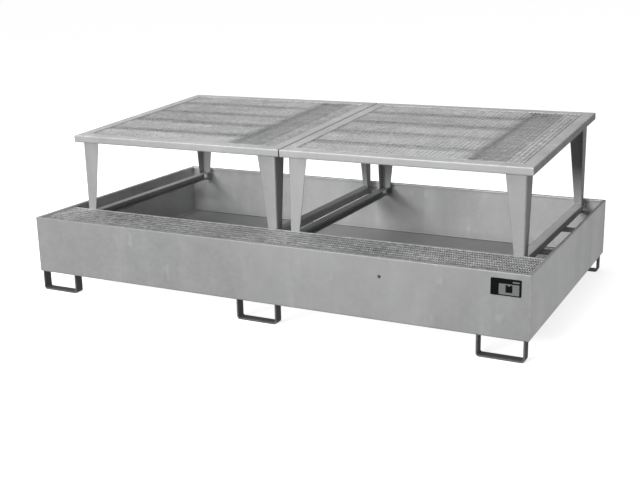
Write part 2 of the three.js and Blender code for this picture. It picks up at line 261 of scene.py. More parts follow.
def add_run(bm, section, place, start, end, mitre=(0.0, 0.0), margin=0.006):
    """Sweeps a section from start to end. place(u, v, s) gives the point.

    A mitre of 1 cuts that end back by u, and the wear and painted shade of the cut ends fade over the
    margin.
    """
    wear_and_shade_layer = bm.verts.layers.float["wear_and_shade"]
    rings = []
    for base, shift, cut, wear_and_shade_at_end in (
        (start, 0.0, mitre[0], CUT_WEAR_AND_SHADE),
        (start, margin, mitre[0], 0.0),
        (end, -margin, -mitre[1], 0.0),
        (end, 0.0, -mitre[1], CUT_WEAR_AND_SHADE),
    ):
        ring = []
        for u, v, wear_and_shade in section:
            vertex = bm.verts.new(place(u, v, base + shift + u * cut))
            vertex[wear_and_shade_layer] = max(wear_and_shade, wear_and_shade_at_end)
            ring.append(vertex)
        rings.append(ring)
    loft(bm, rings)


def add_bar(bm, low, high, matrix=None, wear_and_shade=0.5):
    """A straight bar between two corners, with its long top edges eased."""
    wear_and_shade_layer = bm.verts.layers.float["wear_and_shade"]
    size = [end - start for start, end in zip(low, high)]
    length_axis = max(range(2), key=lambda a: size[a])
    across = 1 - length_axis
    ease = min(BAR_EASE, size[across] / 4)
    outline = [
        (low[across], low[2]),
        (high[across], low[2]),
        (high[across], high[2] - ease),
        (high[across] - ease, high[2]),
        (low[across] + ease, high[2]),
        (low[across], high[2] - ease),
    ]
    rings = []
    for end in (low[length_axis], high[length_axis]):
        ring = []
        for a, z in outline:
            point = Vector((end, a, z)) if length_axis == 0 else Vector((a, end, z))
            vertex = bm.verts.new(matrix @ point if matrix else point)
            vertex[wear_and_shade_layer] = wear_and_shade if z > high[2] - 2 * ease else 0.0
            ring.append(vertex)
        rings.append(ring)
    count = len(outline)
    for i in range(count):
        j = (i + 1) % count
        bm.faces.new((rings[0][i], rings[0][j], rings[1][j], rings[1][i]))
    bm.faces.new(rings[0])
    bm.faces.new(rings[1][::-1])


def add_bead(bm, start, end, radius, seed):
    """A weld bead: a rippled tube from start to end, tapered at both ends."""
    wear_and_shade_layer = bm.verts.layers.float["wear_and_shade"]
    along = Vector(end) - Vector(start)
    count = max(4, int(along.length / BEAD_STEP))
    turn = along.to_track_quat("Z", "Y").to_matrix()
    draw = random.Random(seed)
    rings = []
    for i in range(count + 1):
        t = i / count
        # Regular and random ripples, and thinner ends.
        ripple = 1.0 + 0.16 * math.sin(i * 2.1) + draw.uniform(-0.1, 0.1)
        taper = min(1.0, 0.35 + 4.0 * min(t, 1 - t))
        centre = Vector(start) + along * t
        ring = []
        for k in range(BEAD_SIDES):
            angle = math.tau * k / BEAD_SIDES
            out = turn @ Vector((math.cos(angle), math.sin(angle), 0)) * (radius * ripple * taper)
            vertex = bm.verts.new(centre + out)
            vertex[wear_and_shade_layer] = BEAD_WEAR
            ring.append(vertex)
        rings.append(ring)
    for near, far in zip(rings, rings[1:]):
        for i in range(BEAD_SIDES):
            j = (i + 1) % BEAD_SIDES
            bm.faces.new((near[i], near[j], far[j], far[i]))
    bm.faces.new(rings[0])
    bm.faces.new(rings[-1][::-1])


# ---- Materials -----------------------------------------------------------------------------------


class Graph:
    """Small helper for writing a node tree as a chain of sums and products."""

    def __init__(self, name):
        self.material = bpy.data.materials.new(name)
        self.material.use_nodes = True
        self.tree = self.material.node_tree
        self.tree.nodes.clear()
        output = self.node("ShaderNodeOutputMaterial")
        self.shader = self.node("ShaderNodeBsdfPrincipled")
        self.link(self.shader.outputs[0], output.inputs["Surface"])
        self.coordinates = self.node("ShaderNodeTexCoord").outputs["Object"]

    def node(self, kind, **settings):
        made = self.tree.nodes.new(kind)
        for key, value in settings.items():
            setattr(made, key, value)
        return made

    def link(self, source, target):
        self.tree.links.new(source, target)

    def feed(self, target, value):
        """Sets a socket to a number or colour, or links it to another socket."""
        if isinstance(value, (int, float, tuple)):
            target.default_value = value
        else:
            self.link(value, target)

    def math(self, operation, a, b, clamp=False):
        made = self.node("ShaderNodeMath", operation=operation, use_clamp=clamp)
        self.feed(made.inputs[0], a)
        self.feed(made.inputs[1], b)
        return made.outputs[0]

    def stretched(self, scale):
        made = self.node("ShaderNodeMapping")
        made.inputs["Scale"].default_value = scale
        self.link(self.coordinates, made.inputs["Vector"])
        return made.outputs[0]

    def noise(self, scale, detail=3.0, stretch=(1, 1, 1)):
        made = self.node("ShaderNodeTexNoise")
        self.link(self.stretched(stretch), made.inputs["Vector"])
        made.inputs["Scale"].default_value = scale
        made.inputs["Detail"].default_value = detail
        made.inputs["Roughness"].default_value = 0.55
        return made.outputs["Fac"]

    def spangle(self, scale):
        """A grey of its own for each crystal of zinc."""
        made = self.node("ShaderNodeTexVoronoi")
        self.link(self.stretched((1, 1, 1)), made.inputs["Vector"])
        made.inputs["Scale"].default_value = scale
        split = self.node("ShaderNodeSeparateColor")
        self.link(made.outputs["Color"], split.inputs[0])
        return split.outputs[0]

    def band(self, value, low, high):
        """0 below low, 1 above high and a smooth step between them."""
        made = self.node("ShaderNodeMapRange", interpolation_type="SMOOTHSTEP")
        self.feed(made.inputs["Value"], value)
        made.inputs["From Min"].default_value = low
        made.inputs["From Max"].default_value = high
        return made.outputs[0]

    def centred(self, value, strength):
        """(value - 0.5) * strength"""
        return self.math("MULTIPLY", self.math("SUBTRACT", value, 0.5), strength)

    def total(self, *terms):
        result = terms[0]
        for term in terms[1:]:
            result = self.math("ADD", result, term)
        return result

    def attribute(self, name):
        return self.node("ShaderNodeAttribute", attribute_name=name).outputs["Fac"]

    def tinted(self, value, tint):
        """Grey of the given brightness, a touch greener where tint is high."""
        grey = self.node("ShaderNodeCombineColor")
        greener = self.node("ShaderNodeCombineColor")
        for socket in grey.inputs:
            self.link(value, socket)
        for socket, gain in zip(greener.inputs, (0.985, 1.004, 0.998)):
            self.link(self.math("MULTIPLY", value, gain), socket)
        mixed = self.node("ShaderNodeMix", data_type="RGBA")
        self.feed(mixed.inputs["Factor"], tint)
        self.link(grey.outputs[0], mixed.inputs["A"])
        self.link(greener.outputs[0], mixed.inputs["B"])
        return mixed.outputs["Result"]


def galvanised(
    name,
    tone,
    metal=0.45,
    roughness=0.52,
    streaks=0.16,
    blotches=0.16,
    flakes=0.05,
    wear_and_shade=0.16,
    bump=0.25,
    along=(1, 1, 0.3),
):
    """Hot-dip galvanised steel: cloudy zinc with soft runs and faint spangle.

    Worn edges are brighter. Where the edge strength is negative they are darker instead, which is painted
    shade. along stretches the clouds and runs.
    """
    g = Graph(name)
    clouds = g.noise(3.1, 4.0, along)
    patches = g.noise(9.0, 3.0)
    grain = g.noise(310.0, 2.0)
    mottle = g.noise(46.0, 3.0)
    flake = g.spangle(62.0)
    runs = g.band(g.noise(6.5, 3.0, (along[0], along[1], along[2] * 0.6)), 0.50, 0.82)
    spots = g.band(g.noise(15.0, 2.0, (1, 1, 0.5)), 0.66, 0.76)
    # Edge mask: brighter wear where the strength is positive, painted shade where it is negative.
    edge_wear_and_shade = g.math("MULTIPLY", g.attribute("wear_and_shade"), g.band(mottle, 0.15, 0.7))
    shade = g.total(
        1.0,
        g.centred(clouds, blotches * 2),
        g.centred(patches, blotches),
        g.centred(mottle, flakes * 2),
        g.centred(flake, flakes),
        g.centred(grain, flakes),
        g.math("MULTIPLY", runs, streaks),
        g.math("MULTIPLY", spots, streaks * 0.6),
        g.math("MULTIPLY", edge_wear_and_shade, wear_and_shade),
    )
    brightness = g.math("MULTIPLY", shade, tone, clamp=True)
    tint = g.band(g.noise(2.3, 2.0), 0.48, 0.66)
    g.link(g.tinted(brightness, tint), g.shader.inputs["Base Color"])
    gloss = g.total(
        roughness,
        g.centred(clouds, 0.16),
        g.centred(flake, 0.10),
        g.math("MULTIPLY", edge_wear_and_shade, -0.10),
    )
    g.link(gloss, g.shader.inputs["Roughness"])
    g.shader.inputs["Metallic"].default_value = metal
    height = g.total(
        g.math("MULTIPLY", mottle, 0.6),
        g.math("MULTIPLY", grain, 0.25),
        g.math("MULTIPLY", patches, 1.2),
    )
    relief = g.node("ShaderNodeBump")
    relief.inputs["Strength"].default_value = bump
    relief.inputs["Distance"].default_value = 0.0009
    g.link(height, relief.inputs["Height"])
    g.link(relief.outputs[0], g.shader.inputs["Normal"])
    return g.material


def printed(name, tone):
    """Printed plate: flat ink with faint scuffs and dust."""
    g = Graph(name)
    scuffs = g.band(g.noise(90.0, 3.0, (1, 1, 4)), 0.6, 0.72)
    marks = g.total(1.0, g.math("MULTIPLY", scuffs, 0.3), g.centred(g.noise(30.0), 0.2))
    g.link(g.tinted(g.math("MULTIPLY", marks, tone), g.noise(5.0)), g.shader.inputs["Base Color"])
    g.link(g.total(0.55, g.math("MULTIPLY", scuffs, 0.2)), g.shader.inputs["Roughness"])
    g.shader.inputs["Specular IOR Level"].default_value = 0.08
    return g.material


TRAY = galvanised("tray_zinc", 0.325, roughness=0.6, streaks=0.24, blotches=0.18, wear_and_shade=0.02)
# Darker copy of the tray zinc, with darker folds, for the walls' upward faces on the rim and the floor
# flange: painted shade.
TRAY_RIM_SHADE = galvanised("tray_rim_painted_shade_zinc", 0.25, roughness=0.65, wear_and_shade=-0.1)
# Slightly lighter copy of the tray zinc for the right end wall, which is painted light, with painted shade
# along its folds and ends.
TRAY_END_LIGHT_AND_SHADE = galvanised("tray_end_painted_light_and_shade_zinc", 0.345, streaks=0.10, blotches=0.12, wear_and_shade=-0.30)
# Much lighter copies of the tray zinc for the back and left walls, whose inner faces lie in the tray's
# shade: painted light.
BACK_WALL_LIT = galvanised("back_wall_painted_light_zinc", 0.54, streaks=0.24)
LEFT_WALL_LIT = galvanised("left_wall_painted_light_zinc", 0.54)
# Lighter copy of the tray zinc for the floor inside the tray, which lies in shade: painted light.
INSIDE_LIT = galvanised("tray_floor_painted_light_zinc", 0.45, streaks=0.08, blotches=0.12, along=(0.35, 1, 1))
# Very dark copy of the zinc for the feet in the shade under the tray: painted shade. Their edges carry real
# wear.
FOOT_SHADE = galvanised("foot_painted_shade_zinc", 0.12, roughness=0.6, flakes=0.10, wear_and_shade=0.35)
SUPPORT = galvanised("support_zinc", 0.30, wear_and_shade=0.25)
BEAM = galvanised("beam_zinc", 0.42, wear_and_shade=0.25)
GRATING = galvanised("grating_zinc", 0.46, roughness=0.62, blotches=0.45, flakes=0.45, wear_and_shade=0.10, bump=0.5)
DECK = galvanised("deck_zinc", 0.47, blotches=0.36, flakes=0.40, wear_and_shade=0.05, bump=0.5, along=(0.3, 1, 1))
# Lighter copies of the zinc for the upward faces of the slats and the plank: painted light, with painted
# shade along their edges.
FRONT_SLAT_TOP_LIGHT_AND_SHADE = galvanised("front_slat_top_painted_light_and_shade_zinc", 0.76, blotches=0.16, flakes=0.12, wear_and_shade=-0.8, along=(0.3, 1, 1))
SLAT_TOP_LIGHT_AND_SHADE = galvanised("slat_top_painted_light_and_shade_zinc", 0.64, blotches=0.34, flakes=0.22, wear_and_shade=-0.9, along=(0.3, 1, 1))
PLANK_TOP_LIGHT_AND_SHADE = galvanised("plank_top_painted_light_and_shade_zinc", 0.54, blotches=0.45, flakes=0.30, wear_and_shade=-0.35, along=(1, 0.3, 1))
# Darker copy of the zinc for the trough under the deck: painted shade.
TROUGH_SHADE = galvanised("trough_painted_shade_zinc", 0.33, blotches=0.40, flakes=0.30, along=(1, 0.3, 1))
STAND = galvanised("stand_zinc", 0.43, roughness=0.6, streaks=0.12, blotches=0.10, wear_and_shade=0.0)
# Lighter copy of the stand zinc for the frame's upward faces (painted light), and a darker one for its
# right-facing faces (painted shade).
STAND_TOP_LIT = galvanised("stand_top_painted_light_zinc", 0.53, roughness=0.6, blotches=0.20, flakes=0.12, wear_and_shade=0.0)
STAND_SIDE_SHADE = galvanised("stand_side_painted_shade_zinc", 0.38, streaks=0.12, blotches=0.30, flakes=0.20)
LEG = galvanised("leg_zinc", 0.35, roughness=0.6, streaks=0.20, blotches=0.09, wear_and_shade=0.05)
# Copy of the leg zinc for the legs' right-facing faces, toned for the shade on them: painted shade.
LEG_SIDE_SHADE = galvanised("leg_side_painted_shade_zinc", 0.36, streaks=0.10, blotches=0.20)
RAIL = galvanised("rail_zinc", 0.42, wear_and_shade=0.0, along=(1, 0.3, 1))
# Much lighter, less metallic copy of the rail zinc for the rails' upward faces, which lie in the stands'
# shade: painted light. The outermost rail gets a milder copy.
RAIL_TOP_LIT = galvanised("rail_top_painted_light_zinc", 0.85, metal=0.1, wear_and_shade=0.0, along=(1, 0.3, 1))
OUTER_RAIL_TOP_LIT = galvanised("outer_rail_top_painted_light_zinc", 0.44, wear_and_shade=0.0, along=(1, 0.3, 1))
BOLT = galvanised("bolt_zinc", 0.10, metal=0.7, roughness=0.4, wear_and_shade=0.6)
SHADED = galvanised("shaded_zinc", 0.13, blotches=0.40, flakes=0.30, along=(1, 0.3, 1))
INK = printed("label_black", 0.003)
PALE = printed("label_grey", 0.18)

# ---- Tray ----------------------------------------------------------------------------------------

front_lo, front_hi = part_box("tray_front_wall")
TRAY_HALF_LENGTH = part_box("tray_right_wall")[1].x
TRAY_HALF_DEPTH = -front_lo.y
TRAY_BOTTOM, RIM = front_lo.z, front_hi.z
TRAY_HEIGHT = RIM - TRAY_BOTTOM


def build_tray():
    """Four mitred walls with folded rims, and the floor between them."""
    section = sheet_section(
        [
            (FLOOR_FLANGE, 0),
            (0, 0),
            (0, TRAY_HEIGHT),
            (RIM_WIDTH, TRAY_HEIGHT),
            (RIM_WIDTH, TRAY_HEIGHT - RIM_LIP),
        ][::-1],
        TRAY_SHEET,
        FOLD_RADIUS,
    )
    outward = {"front": (0, -1), "back": (0, 1), "left": (-1, 0), "right": (1, 0)}
    # Each wall takes its own copy of the tray zinc: painted light on the back and left walls, painted light
    # and shade on the right wall.
    wall_zinc_toned_for_light = {"front": TRAY, "back": BACK_WALL_LIT, "left": LEFT_WALL_LIT, "right": TRAY_END_LIGHT_AND_SHADE}
    for name, (sx, sy) in outward.items():
        bm = new_bmesh()
        if sy:
            half = TRAY_HALF_LENGTH
            place = lambda u, v, s, sy=sy: Vector((s, sy * (TRAY_HALF_DEPTH - u), TRAY_BOTTOM + v))
        else:
            half = TRAY_HALF_DEPTH
            place = lambda u, v, s, sx=sx: Vector((sx * (TRAY_HALF_LENGTH - u), s, TRAY_BOTTOM + v))
        add_run(bm, section, place, -half, half, mitre=(1.0, 1.0))
        node = f"tray_{name}_wall"
        wall = new_object(f"{node}_sheet", bm, wall_zinc_toned_for_light[name], "tray", [node])
        # Every wall but the left takes painted shade on its upward faces, the rim top and the floor flange.
        if name != "left":
            paint_light_and_shade_by_facing(wall, TRAY_RIM_SHADE, UP)
    build_floor()
    build_corner_welds()


def build_floor():
    """Floor sheet, very slightly bowed between the walls."""
    bm = new_bmesh()
    across, deep = 48, 28  # cells of the sheet's grid
    bow = 0.0022
    waves = 1.7  # per metre
    border = 0.12  # the bow fades out over this share of the half sheet, towards the walls
    half_x = TRAY_HALF_LENGTH - FLOOR_FLANGE
    half_y = TRAY_HALF_DEPTH - FLOOR_FLANGE
    levels = []
    for top in (0.0, TRAY_SHEET):
        rows = []
        for j in range(deep + 1):
            row = []
            for i in range(across + 1):
                x = -half_x + 2 * half_x * i / across
                y = -half_y + 2 * half_y * j / deep
                fade = min(1 - abs(x) / half_x, 1 - abs(y) / half_y, border) / border
                wave = noise(Vector((x * waves, y * waves, 3.0))) * bow * fade
                row.append(bm.verts.new((x, y, TRAY_BOTTOM + top + wave)))
            rows.append(row)
        for lower, upper in zip(rows, rows[1:]):
            for i in range(across):
                bm.faces.new((lower[i], lower[i + 1], upper[i + 1], upper[i]))
        levels.append(rows)
    under, over = levels
    borders = [
        [(0, i) for i in range(across + 1)],
        [(deep, i) for i in range(across + 1)],
        [(j, 0) for j in range(deep + 1)],
        [(j, across) for j in range(deep + 1)],
    ]
    for cells in borders:
        for (j0, i0), (j1, i1) in zip(cells, cells[1:]):
            bm.faces.new((under[j0][i0], under[j1][i1], over[j1][i1], over[j0][i0]))
    # The floor sheet takes painted light.
    new_object("tray_floor_sheet", bm, INSIDE_LIT, "tray", ["tray_floor"])


def build_corner_welds():
    """Welds down the four corners, ground nearly flush outside, and a full bead inside."""
    bm = new_bmesh()
    foot = TRAY_BOTTOM + 0.012
    beads = (  # inset from the corner, top, radius and seed
        (TRAY_SHEET + 0.0008, RIM - RIM_LIP, 0.0032, 0),
        (0.0014, RIM - 0.002, 0.0021, 10),
    )
    number = 0
    for sx in (-1, 1):
        for sy in (-1, 1):
            number += 1
            for inset, top, radius, seed in beads:
                x, y = sx * (TRAY_HALF_LENGTH - inset), sy * (TRAY_HALF_DEPTH - inset)
                add_bead(bm, (x, y, foot), (x, y, top), radius, seed + number)
    new_object("tray_corner_welds", bm, TRAY, "tray")


def build_feet():
    """Flat bars bent to a U, each leg welded to the underside of the tray."""
    weld_gap = 0.001  # from a leg's face to the middle of its weld
    weld_end = 0.003  # from the bar's edge to the weld's end
    for row in ROWS:
        for column in COLUMNS:
            node = f"foot_{row}_{column}"
            low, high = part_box(node)
            section = sheet_section(
                [(high.x, high.z), (high.x, 0), (low.x, 0), (low.x, high.z)][::-1],
                FOOT_BAR,
                FOOT_BEND,
                steps=7,
            )
            bm = new_bmesh()
            place = lambda u, v, s: Vector((u, s, v))
            add_run(bm, section, place, low.y, high.y)
            weld_places = (
                low.x - weld_gap,
                low.x + FOOT_BAR + weld_gap,
                high.x - FOOT_BAR - weld_gap,
                high.x + weld_gap,
            )
            for i, x in enumerate(weld_places):
                start = (x, low.y + weld_end, high.z)
                end = (x, high.y - weld_end, high.z)
                add_bead(bm, start, end, BEAD, FOOT_SEED + i)
            # The feet's zinc is darkened: painted shade.
            foot = new_object(f"{node}_bar", bm, FOOT_SHADE, "tray", [node])
            ease_edges(foot, FOOT_EASE)


def ease_edges(obj, width):
    """Rounds what is still sharp on a solid bar."""
    bevel = obj.modifiers.new("eased", "BEVEL")
    bevel.width = width
    bevel.segments = 2
    bevel.limit_method = "ANGLE"
    bevel.angle_limit = math.radians(50)


def angle_along_x(node, corners, sheet, bend):
    """Stands for a CAD angle that runs along X. Corners are (y, z)."""
    low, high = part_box(node)
    bm = new_bmesh()
    section = sheet_section(corners, sheet, bend)
    add_run(bm, section, lambda u, v, s: Vector((s, u, v)), low.x, high.x)
    new_object(f"{node}_fold", bm, SUPPORT, "tray", [node])


def build_supports():
    """Grating ledge, cross beam, rail cleats and side brackets inside the tray."""
    low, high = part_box("grating_ledge_front")
    corners = [(high.y, high.z), (low.y, high.z), (low.y, low.z)]
    angle_along_x("grating_ledge_front", corners, SUPPORT_SHEET, FOLD_RADIUS)
    build_cross_beam()
    for column in COLUMNS:
        node = f"rail_cleat_{column}"
        low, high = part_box(node)
        corners = [(low.y, low.z), (high.y, low.z), (high.y, high.z)]
        angle_along_x(node, corners, BRACKET_SHEET, BRACKET_BEND)
    for side, sign in (("left", -1), ("right", 1)):
        for row in ROWS:
            node = f"side_bracket_{side}_{row}"
            low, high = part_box(node)
            wall, tip = (high.x, low.x) if sign > 0 else (low.x, high.x)
            corners = [(wall, low.z), (wall, high.z), (tip, high.z)]
            corners = corners if sign > 0 else corners[::-1]
            section = sheet_section(corners, BRACKET_SHEET, BRACKET_BEND)
            bm = new_bmesh()
            add_run(bm, section, lambda u, v, s: Vector((u, s, v)), low.y, high.y)
            for y in (low.y, high.y):
                start = (wall, y, low.z + 0.002)
                end = (wall, y, high.z - BRACKET_BEND)
                add_bead(bm, start, end, BEAD, BRACKET_SEED + sign)
            new_object(f"{node}_fold", bm, SUPPORT, "tray", [node])


def build_cross_beam():
    """Beam across the tray: a Z-shaped folded sheet with a flat bar welded on as the grating shelf."""
    low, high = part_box("cross_beam")
    grating_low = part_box("front_grating_left")[0]
    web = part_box("front_grating_left")[1].y + GAP
    cap = web + BEAM_CAP
    shelf_foot = grating_low.z - GAP - SUPPORT_SHEET
    bm = new_bmesh()
    place = lambda u, v, s: Vector((s, u, v))
    corners = [(cap, high.z), (web, high.z), (web, low.z), (high.y, low.z)]
    add_run(bm, sheet_section(corners, SUPPORT_SHEET, BEAM_BEND), place, low.x, high.x)
    corners = [(low.y, shelf_foot), (web, shelf_foot)]
    add_run(bm, sheet_section(corners, SUPPORT_SHEET, BEAM_BEND), place, low.x, high.x)
    welds = (  # half length, y, z, radius and seed
        (0.03, web, shelf_foot, BEAD, SHELF_SEED),
        (0.02, web + SUPPORT_SHEET, low.z + SUPPORT_SHEET, 0.002, FLANGE_SEED),
    )
    for i in range(BEAM_WELDS):
        x = low.x + (high.x - low.x) * (i + 0.5) / BEAM_WELDS
        for half, y, z, radius, seed in welds:
            add_bead(bm, (x - half, y, z), (x + half, y, z), radius, seed + i)
    new_object("cross_beam_fold", bm, BEAM, "tray", ["cross_beam"])


# ---- Gratings ------------------------------------------------------------------------------------


def add_crossing(bm, centre, size, draw, matrix=None):
    """A small lump of zinc where two bars cross."""
    wear_and_shade_layer = bm.verts.layers.float["wear_and_shade"]
    sides = 5
    turn = draw.uniform(0, math.tau)
    angles = [turn + math.tau * k / sides for k in range(sides)]
    points = [(0, 0, 0.5), (0, 0, -0.6)]
    points += [(math.cos(angle), math.sin(angle), 0) for angle in angles]
    scale = size * draw.uniform(0.6, 1.25)
    made = []
    for p in points:
        point = Vector(centre) + Vector(p) * scale
        vertex = bm.verts.new(matrix @ point if matrix else point)
        vertex[wear_and_shade_layer] = 1.0
        made.append(vertex)
    for k in range(sides):
        near, far = made[2 + k], made[2 + (k + 1) % sides]
        bm.faces.new((made[0], near, far))
        bm.faces.new((made[1], far, near))


def add_mesh_of_bars(bm, low, high, pitch, bearing, cross, lump, seed, matrix=None):
    """Bearing bars along Y and lower cross bars along X, with a flat border. Each bar is (width, depth)."""
    draw = random.Random(seed)
    waver = 0.0006  # how far a bar may stand off its place
    border = GRATING_BORDER
    x_count = round((high[0] - low[0]) / pitch[0])
    y_count = round((high[1] - low[1]) / pitch[1])
    step_x = (high[0] - low[0]) / x_count
    step_y = (high[1] - low[1]) / y_count
    top = high[2]
    width, depth = bearing
    for i in range(1, x_count):
        x = low[0] + i * step_x + draw.uniform(-waver, waver)
        drop = draw.uniform(0.0, waver)
        start = (x - width / 2, low[1] + border, top - depth)
        end = (x + width / 2, high[1] - border, top - drop)
        add_bar(bm, start, end, matrix)
    width, depth = cross
    for j in range(1, y_count):
        y = low[1] + j * step_y + draw.uniform(-waver, waver)
        drop = draw.uniform(0.0004, 0.0012)
        start = (low[0] + border, y - width / 2, top - depth)
        end = (high[0] - border, y + width / 2, top - drop)
        add_bar(bm, start, end, matrix)
        for i in range(1, x_count):
            centre = (low[0] + i * step_x, y, top - drop - lump * 0.3)
            if draw.random() < LUMP_CHANCE:
                add_crossing(bm, centre, lump, draw, matrix)
    for y0, y1 in ((low[1], low[1] + border), (high[1] - border, high[1])):
        add_bar(bm, (low[0], y0, low[2]), (high[0], y1, top), matrix, wear_and_shade=1.0)
    for x0, x1 in ((low[0], low[0] + border), (high[0] - border, high[0])):
        add_bar(bm, (x0, low[1] + border, low[2]), (x1, high[1] - border, top), matrix, wear_and_shade=1.0)


def build_front_gratings():
    """The two gratings along the front, flush with each other."""
    for index, side in enumerate(SIDES):
        node = f"front_grating_{side}"
        low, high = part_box(node)
        bearing = (FRONT_BEARING_WIDTH, high.z - low.z)
        seed = FRONT_GRATING_SEED + index
        bm = new_bmesh()
        add_mesh_of_bars(bm, low, high, FRONT_PITCH, bearing, FRONT_CROSS, FRONT_LUMP, seed)
        new_object(f"{node}_mesh", bm, GRATING, node, [node])


# ---- Raised stands -------------------------------------------------------------------------------

deck_axis = next(j["axis"] for j in frame["joints"] if j["name"] == "deck_grating_left_lift")
TILT = math.atan2(-deck_axis[1], deck_axis[2])


def platform_matrix(side):
    """From a platform's own axes, with its front left top corner at the origin, to the scene's."""
    low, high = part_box(f"stand_{side}_frame_front")
    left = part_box(f"stand_{side}_frame_left")[0].x
    origin = Vector((left, low.y, high.z - FRAME_FLANGE * math.sin(TILT)))
    return Matrix.Translation(origin) @ Matrix.Rotation(TILT, 4, "X")


def platform_size(side):
    """Width, and depth along the slope."""
    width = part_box(f"stand_{side}_frame_right")[1].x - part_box(f"stand_{side}_frame_left")[0].x
    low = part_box(f"stand_{side}_frame_front")[0].y
    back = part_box(f"stand_{side}_frame_back")
    depth = (back[1].y - FRAME_HEIGHT * math.sin(TILT) - low) / math.cos(TILT)
    return width, depth


def build_frame(side, matrix, width, depth):
    """Four channels with mitred, welded corners."""
    section = sheet_section(
        [(FRAME_LOWER, -FRAME_HEIGHT), (0, -FRAME_HEIGHT), (0, 0), (FRAME_FLANGE, 0)][::-1],
        FRAME_SHEET,
        FOLD_RADIUS,
    )
    members = {
        "front": (lambda u, v, s: matrix @ Vector((s, u, v)), width),
        "back": (lambda u, v, s: matrix @ Vector((s, depth - u, v)), width),
        "left": (lambda u, v, s: matrix @ Vector((u, s, v)), depth),
        "right": (lambda u, v, s: matrix @ Vector((width - u, s, v)), depth),
    }
    for member, (place, length) in members.items():
        node = f"stand_{side}_frame_{member}"
        bm = new_bmesh()
        add_run(bm, section, place, 0.0, length, mitre=(1.0, 1.0))
        channel = new_object(f"{node}_fold", bm, STAND, f"stand_{side}", [node])
        # Right-facing faces take painted shade, upward faces painted light.
        paint_light_and_shade_by_facing(channel, STAND_SIDE_SHADE, RIGHT)
        paint_light_and_shade_by_facing(channel, STAND_TOP_LIT, UP)
    build_frame_welds(side, matrix, width, depth)


def build_frame_welds(side, matrix, width, depth):
    """Beads along the four mitres and down the four corners, ground nearly flush."""
    sunk = 0.0008  # of a mitre's bead, under the frame's top
    inset = 0.0014  # of a corner's bead
    short = 0.004  # from the corner to where a bead begins
    welds = new_bmesh()
    seed = FRAME_SEED
    for x, sx in ((0, 1), (width, -1)):
        for y, sy in ((0, 1), (depth, -1)):
            seed += 1
            start = matrix @ Vector((x + sx * short, y + sy * short, -sunk))
            end = matrix @ Vector((x + sx * FRAME_FLANGE, y + sy * FRAME_FLANGE, -sunk))
            add_bead(welds, start, end, 0.0014, seed)
            top = matrix @ Vector((x + sx * inset, y + sy * inset, -short))
            foot = matrix @ Vector((x + sx * inset, y + sy * inset, -FRAME_HEIGHT + 0.002))
            add_bead(welds, top, foot, 0.0018, seed + 20)
    new_object(f"stand_{side}_frame_welds", welds, STAND, f"stand_{side}")


def build_leg(side, corner, matrix):
    """Tapered leg folded from sheet, with a rounded fold at its outer corner."""
    node = f"stand_{side}_leg_{corner}"
    low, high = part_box(node)
    inward_x = 1 if corner.endswith("left") else -1
    inward_y = 1 if corner.startswith("front") else -1
    fold_x = low.x if inward_x > 0 else high.x
    fold_y = low.y if inward_y > 0 else high.y
    reach_x, reach_y = high.x - low.x, high.y - low.y
    origin = matrix.translation

    def foot_at(y):
        """Height of the leg's lower edge, the same at every y."""
        return low.z

    def top_at(y):
        """Height of the frame's underside."""
        return origin.z + (y - origin.y) * math.tan(TILT) - FRAME_HEIGHT / math.cos(TILT)

    def section(width_x, width_y):
        corners = [(width_x, 0), (0, 0), (0, width_y)]
        return sheet_section(corners[::-1], LEG_SHEET, LEG_FOLD, steps=6, margin=0.004)

    bm = new_bmesh()
    wear_and_shade_layer = bm.verts.layers.float["wear_and_shade"]
    foot_section = section(LEG_FOOT, LEG_FOOT)
    top_section = section(reach_x, reach_y)
    levels = (0.0, 0.02, 0.25, 0.5, 0.75, 0.98, 1.0)  # shares of the leg's height
    rings = []
    for level in levels:
        ring = []
        for (u0, v0, wear_and_shade), (u1, v1, _) in zip(foot_section, top_section):
            u, v = u0 + (u1 - u0) * level, v0 + (v1 - v0) * level
            x, y = fold_x + inward_x * u, fold_y + inward_y * v
            z = low.z + (top_at(y) - low.z) * level
            vertex = bm.verts.new((x, y, z))
            vertex[wear_and_shade_layer] = max(wear_and_shade, CUT_WEAR_AND_SHADE if level in (0.0, 1.0) else 0.0)
            ring.append(vertex)
        rings.append(ring)
    loft(bm, rings)
    seed = LEG_SEED + len(node) + (inward_x + 1) * 2 + inward_y
    bead = 0.0026
    stand_off = 0.0005  # of a bead's middle from the leg's outer face
    weld_x, weld_y = fold_x - inward_x * stand_off, fold_y - inward_y * stand_off
    start_x, start_y = fold_x + inward_x * LEG_FOLD, fold_y + inward_y * LEG_FOLD
    for z_at, size_x, size_y in ((foot_at, LEG_FOOT, LEG_FOOT), (top_at, reach_x, reach_y)):
        end_x = fold_x + inward_x * (size_x - LEG_SHEET)
        end_y = fold_y + inward_y * (size_y - LEG_SHEET)
        z = z_at(weld_y)
        add_bead(bm, (start_x, weld_y, z), (end_x, weld_y, z), bead, seed)
        start = (weld_x, start_y, z_at(start_y))
        end = (weld_x, end_y, z_at(end_y))
        add_bead(bm, start, end, bead, seed + 7)
    leg = new_object(f"{node}_fold", bm, LEG, f"stand_{side}", [node])
    # Right-facing faces take painted shade: the shaded zinc in the gap between the stands, the leg's shade
    # copy elsewhere.
    between_stands = side == "left" and corner.endswith("right")
    paint_light_and_shade_by_facing(leg, SHADED if between_stands else LEG_SIDE_SHADE, RIGHT)


